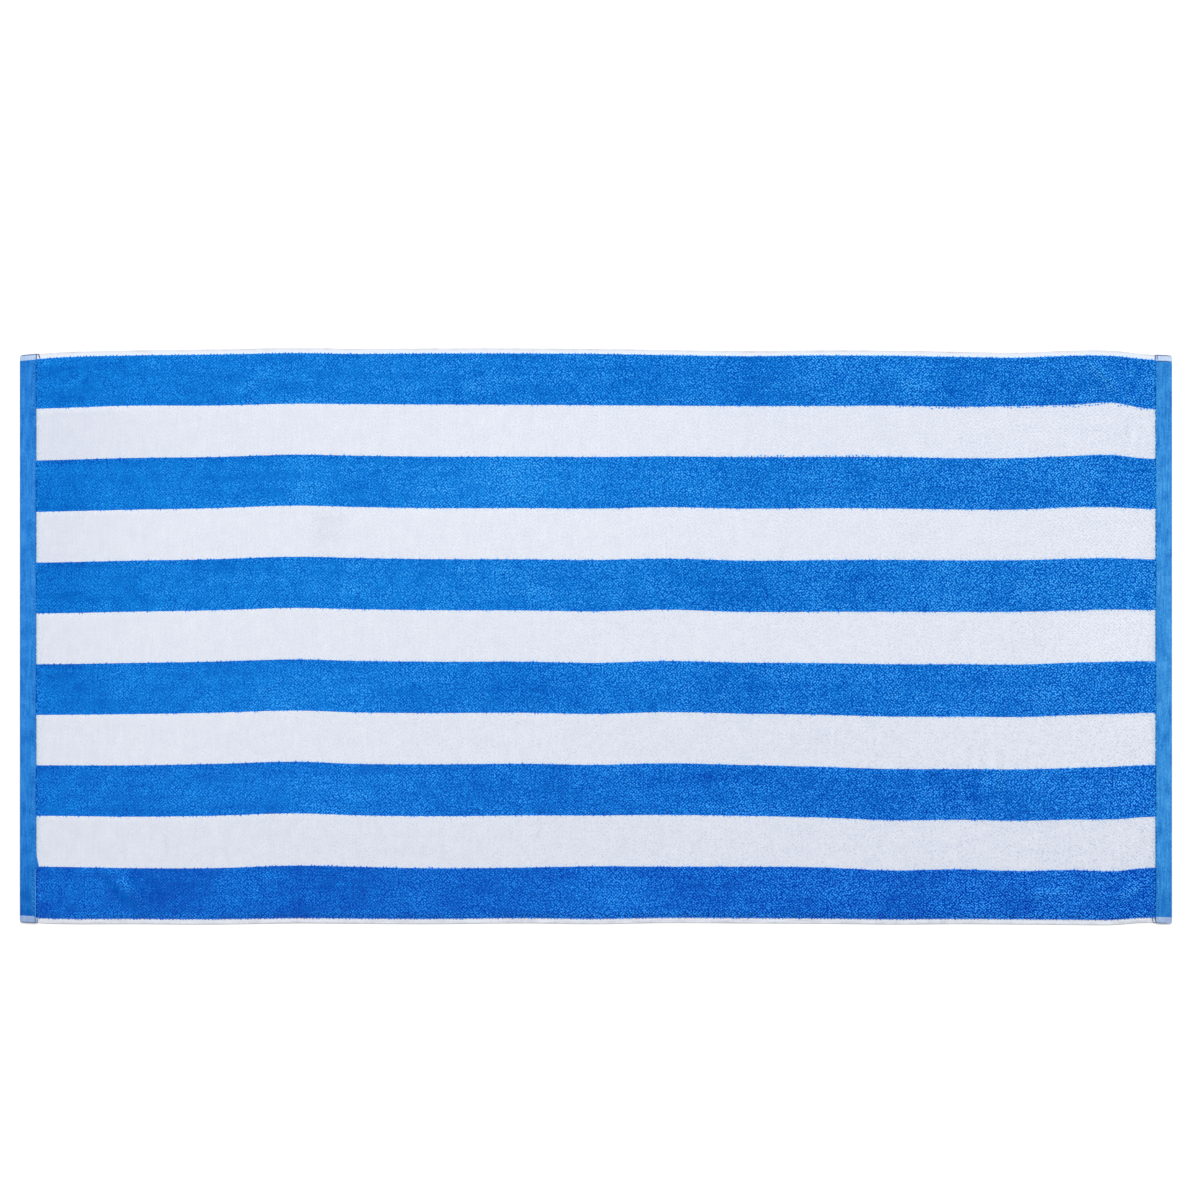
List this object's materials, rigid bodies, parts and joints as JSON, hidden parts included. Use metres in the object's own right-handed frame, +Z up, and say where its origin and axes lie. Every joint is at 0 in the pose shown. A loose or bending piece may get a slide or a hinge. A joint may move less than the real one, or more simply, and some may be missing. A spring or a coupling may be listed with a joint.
{
  "type": "beach towel",
  "caption": "Rectangular terry beach towel laid flat, with lengthwise blue and white stripes, flat-woven selvedges and a turned hem at each short end.",
  "frame": {"origin": "on the surface that the towel lies on, under the middle of its outline", "axes": "+X along the towel's length, +Y across its width towards the edge that is at the top of the picture, +Z up from the surface"},
  "size_m": [1.524, 0.764, 0.0049],
  "materials": {
    "terry_cloth": "cotton terry in lengthwise stripes, six of blue and five of white, with white flat-woven selvedges and blue flat-woven hems"
  },
  "bodies": {
    "root": {"towel_cloth": "terry_cloth"}
  },
  "joints": []
}
